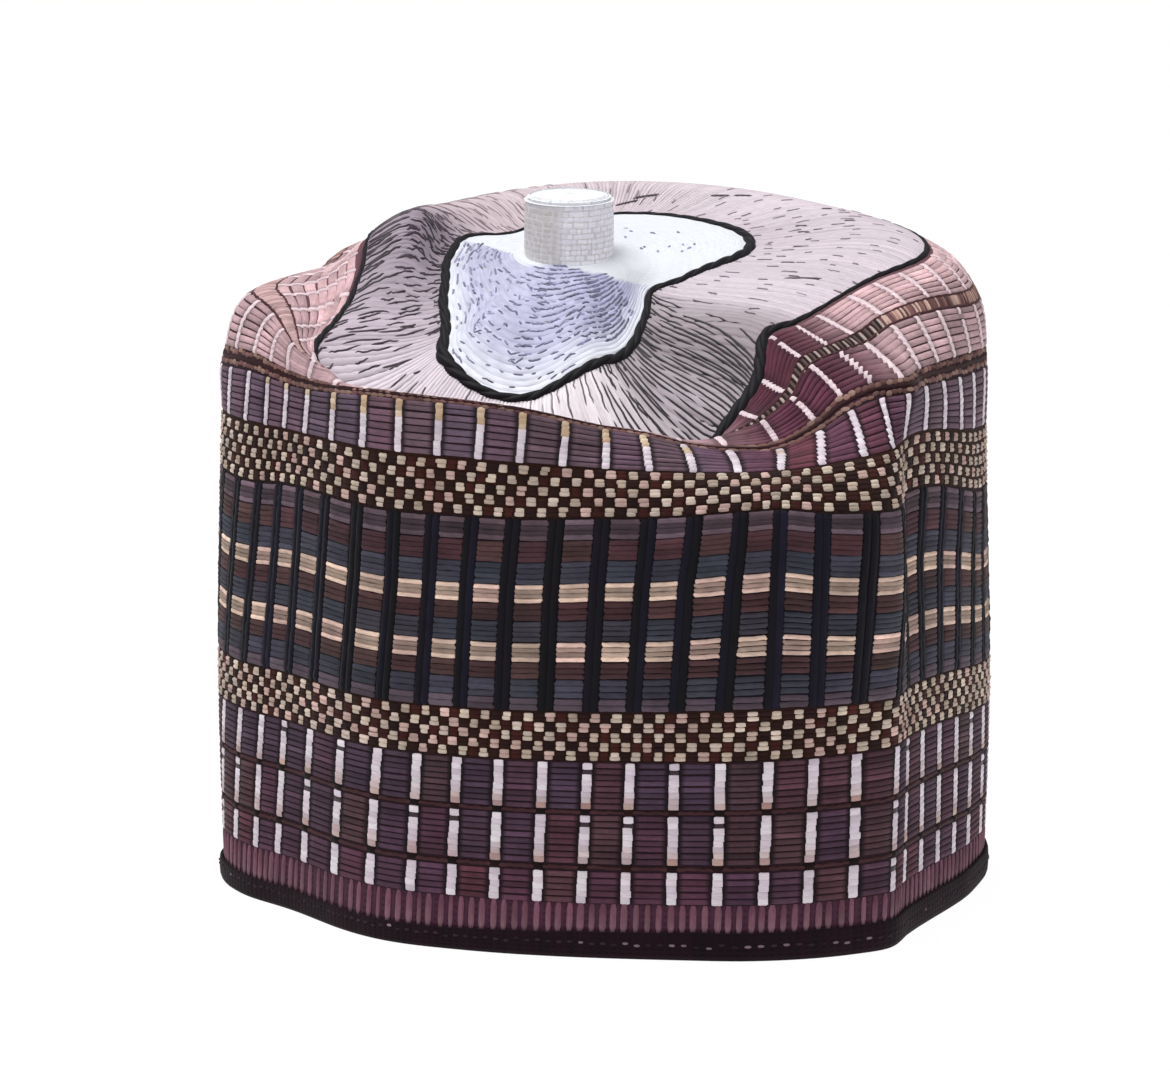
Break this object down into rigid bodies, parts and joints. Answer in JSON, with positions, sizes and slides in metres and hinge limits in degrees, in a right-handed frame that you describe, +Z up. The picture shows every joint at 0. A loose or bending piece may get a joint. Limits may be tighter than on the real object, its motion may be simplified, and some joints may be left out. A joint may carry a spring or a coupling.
{
  "type": "hausa cap",
  "caption": "Tall soft brimless cap of banded cotton with a stitched crown, cord-edged rings and a button on top, standing on its hem with a slumped crown.",
  "frame": {"origin": "middle of the cap's outline, on the surface that the hem rests on", "axes": "+Z up out of the crown, +X to the cap's right side as the picture shows it, +Y to the hidden back"},
  "size_m": [0.1952, 0.1694, 0.1759],
  "materials": {
    "banded_cotton": "hand-woven cotton in dull purple, cream, slate and maroon bands",
    "hem_tape": "dark folded cotton tape",
    "lilac_thread": "dense satin embroidery in pale lilac with dark stitches",
    "white_thread": "dense white satin embroidery",
    "black_cord": "matt black twisted cord",
    "knob_thread": "white thread wound in rounds"
  },
  "bodies": {
    "root": {"hem_binding": "hem_tape", "side_wall": "banded_cotton", "crown_ring": "lilac_thread", "crown_centre": "white_thread", "crown_edge_cord": "black_cord", "centre_edge_cord": "black_cord", "knob": "knob_thread"}
  },
  "joints": []
}
